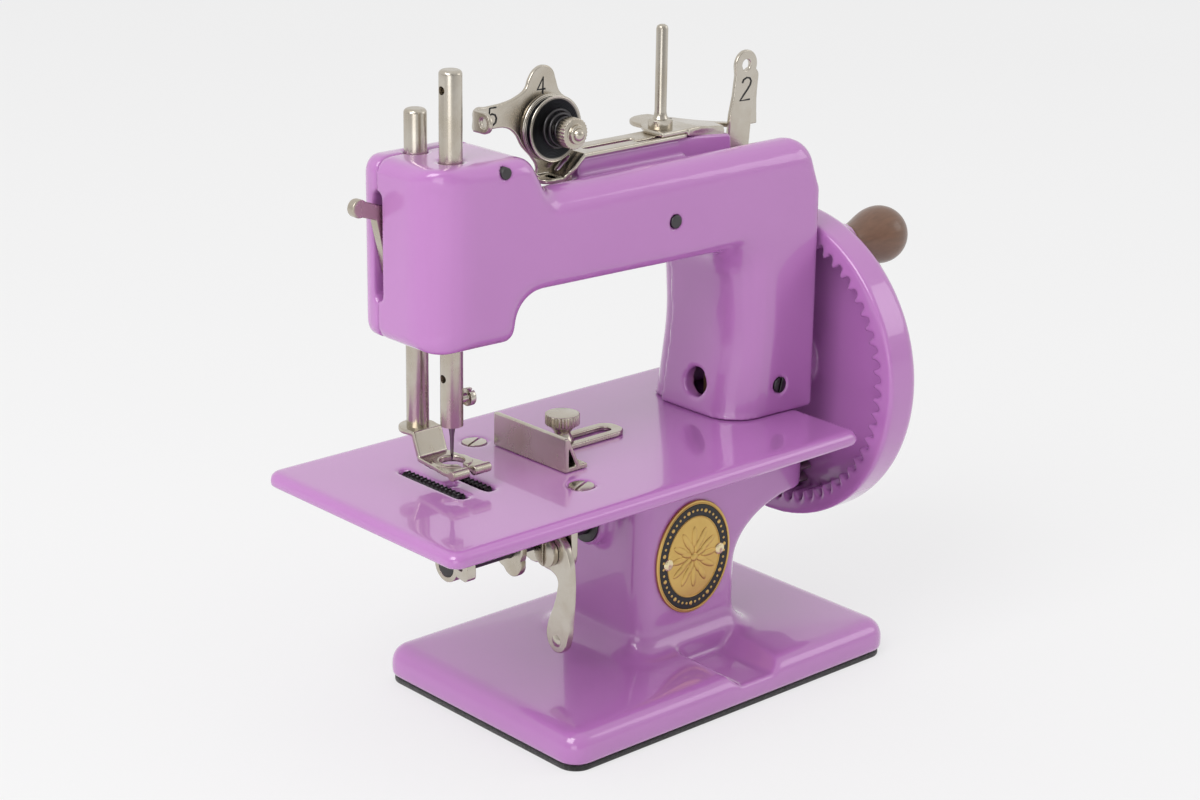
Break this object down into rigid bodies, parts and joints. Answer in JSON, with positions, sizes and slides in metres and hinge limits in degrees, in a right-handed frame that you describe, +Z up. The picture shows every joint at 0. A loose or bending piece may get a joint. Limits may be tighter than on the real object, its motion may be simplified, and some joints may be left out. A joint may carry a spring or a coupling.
{
  "type": "toy sewing machine",
  "caption": "Toy hand-crank sewing machine: cast base, column and bed, arm with needle bar and presser, thread guides, and a hand wheel with inner gear teeth.",
  "frame": {"origin": "centre of the base on the table, at the underside of the felt", "axes": "+X from the needle towards the hand wheel, -Y towards the front with the medallion, +Z up"},
  "size_m": [0.1793, 0.0874, 0.1746],
  "materials": {
    "enamel": "glossy orchid enamel on die-cast metal",
    "felt": "pressed black felt",
    "gilt": "stamped gilt brass with a dark border",
    "rivet_brass": "pale bright brass",
    "nickel": "worn warm nickel plate",
    "steel": "bare machined steel",
    "blued_steel": "dark blued steel",
    "brass": "plain turned brass",
    "handle_wood": "brown lacquered wood"
  },
  "bodies": {
    "machine": {"base_casting": "enamel", "base_felt": "felt", "arm_front": "enamel", "arm_rear": "enamel", "medallion": "gilt", "medallion_rivets": "rivet_brass", "bed_screws": "nickel", "pillar_screws": "steel", "lever_pivot_screw": "blued_steel", "head_pin": "blued_steel", "axle_set_screw": "blued_steel", "wheel_axle": "brass", "wheel_washer": "nickel", "axle_nut": "nickel", "shaft_bushes": "brass", "looper_bush": "brass", "lifter_pin": "steel", "thread_strip": "nickel", "spool_plate": "nickel", "spool_pin": "nickel", "tension_bracket": "nickel", "tension_stud": "steel", "tension_discs": "blued_steel", "tension_spring": "blued_steel", "feed_bracket": "nickel", "feed_screws": "steel", "finger_lever_screw": "nickel", "presser_spring": "steel"},
    "wheel": {"handwheel": "enamel", "handle_pin": "steel"},
    "handle": {"crank_handle": "handle_wood"},
    "drive": {"drive_pinion": "steel", "pinion_shaft": "steel", "crank_disc": "steel"},
    "lever": {"needle_lever": "steel", "thread_lever": "nickel"},
    "needle_unit": {"needle_bar": "nickel", "needle_collar": "steel", "needle": "steel", "needle_screw": "nickel"},
    "pitman_rod": {"pitman": "brass"},
    "looper_unit": {"looper_shaft": "steel", "looper": "nickel", "feed_cam": "nickel"},
    "feed": {"feed_dog": "blued_steel"},
    "lifter": {"presser_lifter": "nickel"},
    "presser": {"presser_bar": "nickel", "presser_collar": "steel", "presser_foot": "nickel"},
    "guide": {"seam_guide": "nickel"},
    "thumb_screw": {"guide_screw": "nickel"},
    "tension_knob": {"tension_nut": "nickel"},
    "finger": {"finger_lever": "nickel"}
  },
  "joints": [
    {"name": "wheel_spin", "type": "hinge", "parent": "machine", "child": "wheel", "pos_m": [0.055, 0.002, 0.0766], "axis": [1, 0, 0], "continuous": true},
    {"name": "handle_spin", "type": "hinge", "parent": "wheel", "child": "handle", "pos_m": [0.07, -0.01144, 0.11107], "axis": [1, 0, 0], "continuous": true},
    {"name": "pinion_spin", "type": "hinge", "parent": "machine", "child": "drive", "pos_m": [0.045, 0.002, 0.04612], "axis": [1, 0, 0], "continuous": true},
    {"name": "needle_rock", "type": "hinge", "parent": "machine", "child": "lever", "pos_m": [-0.0022, -0.005, 0.1278], "axis": [0, 1, 0], "range_deg": [-9.5, 4.5]},
    {"name": "needle_slide", "type": "slide", "parent": "machine", "child": "needle_unit", "axis": [0, 0, 1], "range_m": [-0.0108, 0.0053]},
    {"name": "pitman_slide", "type": "slide", "parent": "machine", "child": "pitman_rod", "axis": [0, 0, 1], "range_m": [-0.0027, 0.0054]},
    {"name": "looper_rock", "type": "hinge", "parent": "machine", "child": "looper_unit", "pos_m": [-0.02, 0.002, 0.04612], "axis": [1, 0, 0], "range_deg": [-28, 14]},
    {"name": "feed_slide", "type": "slide", "parent": "machine", "child": "feed", "axis": [0, 1, 0], "range_m": [-0.001, 0.0005]},
    {"name": "lifter_tilt", "type": "hinge", "parent": "machine", "child": "lifter", "pos_m": [-0.072, 0.014, 0.123], "axis": [0, 1, 0], "range_deg": [-60, 0]},
    {"name": "presser_slide", "type": "slide", "parent": "machine", "child": "presser", "axis": [0, 0, 1], "range_m": [-0.0045, 0.0002], "deforming": ["presser_spring"]},
    {"name": "guide_slide", "type": "slide", "parent": "machine", "child": "guide", "axis": [1, 0, 0], "range_m": [-0.01, 0.004]},
    {"name": "guide_screw_turn", "type": "hinge", "parent": "machine", "child": "thumb_screw", "pos_m": [-0.0255, 0.004, 0.075], "axis": [0, 0, 1], "continuous": true},
    {"name": "tension_nut_turn", "type": "hinge", "parent": "machine", "child": "tension_knob", "pos_m": [-0.0304, -0.004, 0.1532], "axis": [0, 1, 0], "continuous": true},
    {"name": "finger_lever_swing", "type": "hinge", "parent": "machine", "child": "finger", "pos_m": [-0.0385, -0.0072, 0.0459], "axis": [1, 0, 0], "range_deg": [-20, 25]}
  ],
  "couplings": [
    {"joint": "pinion_spin", "follows": "wheel_spin", "ratio": 5},
    {"joint": "needle_slide", "follows": "needle_rock", "m_per_rad": 0.0628},
    {"joint": "pitman_slide", "follows": "needle_rock", "m_per_rad": -0.0307},
    {"joint": "looper_rock", "follows": "needle_rock", "ratio": 2.8},
    {"joint": "feed_slide", "follows": "needle_rock", "m_per_rad": 0.005},
    {"joint": "presser_slide", "follows": "lifter_tilt", "m_per_rad": 0.0033}
  ]
}
